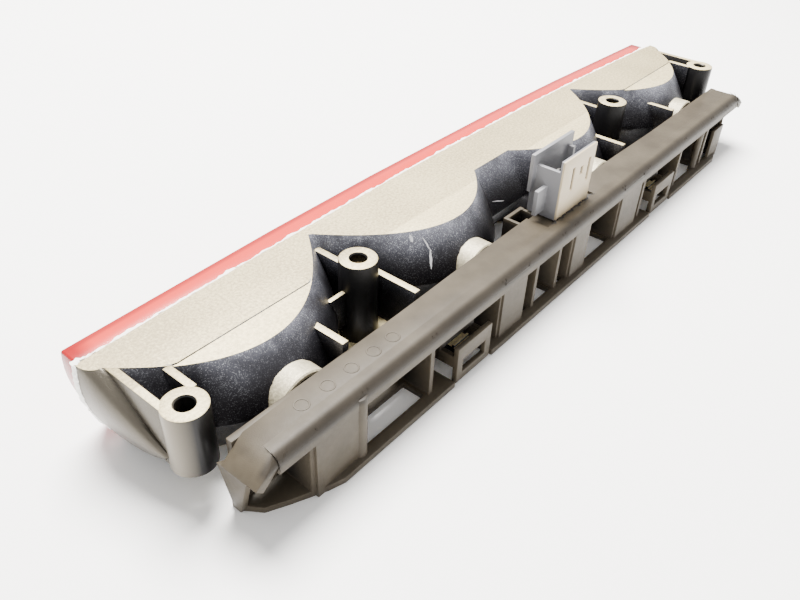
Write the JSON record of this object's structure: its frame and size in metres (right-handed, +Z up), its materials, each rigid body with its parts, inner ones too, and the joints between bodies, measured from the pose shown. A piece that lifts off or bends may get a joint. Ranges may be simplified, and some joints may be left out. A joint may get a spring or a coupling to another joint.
{
  "type": "third brake light",
  "caption": "Centre high-level brake lamp: bowed red lens on a bowl reflector housing, with a clip-on bulb carrier, wedge bulbs and a plug connector.",
  "frame": {"origin": "under the middle of the lamp's box, at the level of the carrier's lower rail", "axes": "+X along the lamp, +Y from the lens to the bulb carrier, +Z up from the lower rail to the connector"},
  "size_m": [0.3324, 0.072, 0.0481],
  "materials": {
    "metallised_plastic": "vacuum metallised, satin",
    "red_lens": "clear red, polished",
    "adhesive": "matte",
    "brass_insert": "turned, knurled",
    "carrier_plastic": "moulded, satin",
    "connector_plastic": "moulded, satin",
    "tinned_pin": "tinned",
    "contact_strip": "stamped strip",
    "bulb_glass": "clear",
    "filament_wire": "drawn wire",
    "lead_wire": "drawn wire"
  },
  "bodies": {
    "root": {"housing": "metallised_plastic", "lens": "red_lens", "seam_bead": "adhesive", "insert_left": "brass_insert", "insert_right": "brass_insert"},
    "carrier": {"carrier": "carrier_plastic", "connector_shell": "connector_plastic", "pin_live": "tinned_pin", "pin_earth": "tinned_pin", "track_live": "contact_strip", "track_earth": "contact_strip"},
    "latch_left": {"latch_left": "carrier_plastic"},
    "latch_right": {"latch_right": "carrier_plastic"},
    "bulb_1": {"bulb_1": "bulb_glass", "filament_1": "filament_wire", "leads_1": "lead_wire"},
    "bulb_2": {"bulb_2": "bulb_glass", "filament_2": "filament_wire", "leads_2": "lead_wire"},
    "bulb_3": {"bulb_3": "bulb_glass", "filament_3": "filament_wire", "leads_3": "lead_wire"},
    "bulb_4": {"bulb_4": "bulb_glass", "filament_4": "filament_wire", "leads_4": "lead_wire"}
  },
  "joints": [
    {"name": "carrier_pull", "type": "slide", "parent": "root", "child": "carrier", "axis": [0, 1, 0], "range_m": [0, 0.045]},
    {"name": "latch_left_flex", "type": "hinge", "parent": "carrier", "child": "latch_left", "pos_m": [-0.06905, 0.0214, 0.00915], "axis": [1, 0, 0], "range_deg": [0, 5], "stiffness_Nm_per_rad": 0.6},
    {"name": "latch_right_flex", "type": "hinge", "parent": "carrier", "child": "latch_right", "pos_m": [0.06905, 0.0214, 0.00915], "axis": [1, 0, 0], "range_deg": [0, 5], "stiffness_Nm_per_rad": 0.6},
    {"name": "bulb_1_pull", "type": "slide", "parent": "carrier", "child": "bulb_1", "axis": [0, -1, 0], "range_m": [0, 0.011]},
    {"name": "bulb_2_pull", "type": "slide", "parent": "carrier", "child": "bulb_2", "axis": [0, -1, 0], "range_m": [0, 0.011]},
    {"name": "bulb_3_pull", "type": "slide", "parent": "carrier", "child": "bulb_3", "axis": [0, -1, 0], "range_m": [0, 0.011]},
    {"name": "bulb_4_pull", "type": "slide", "parent": "carrier", "child": "bulb_4", "axis": [0, -1, 0], "range_m": [0, 0.011]}
  ]
}
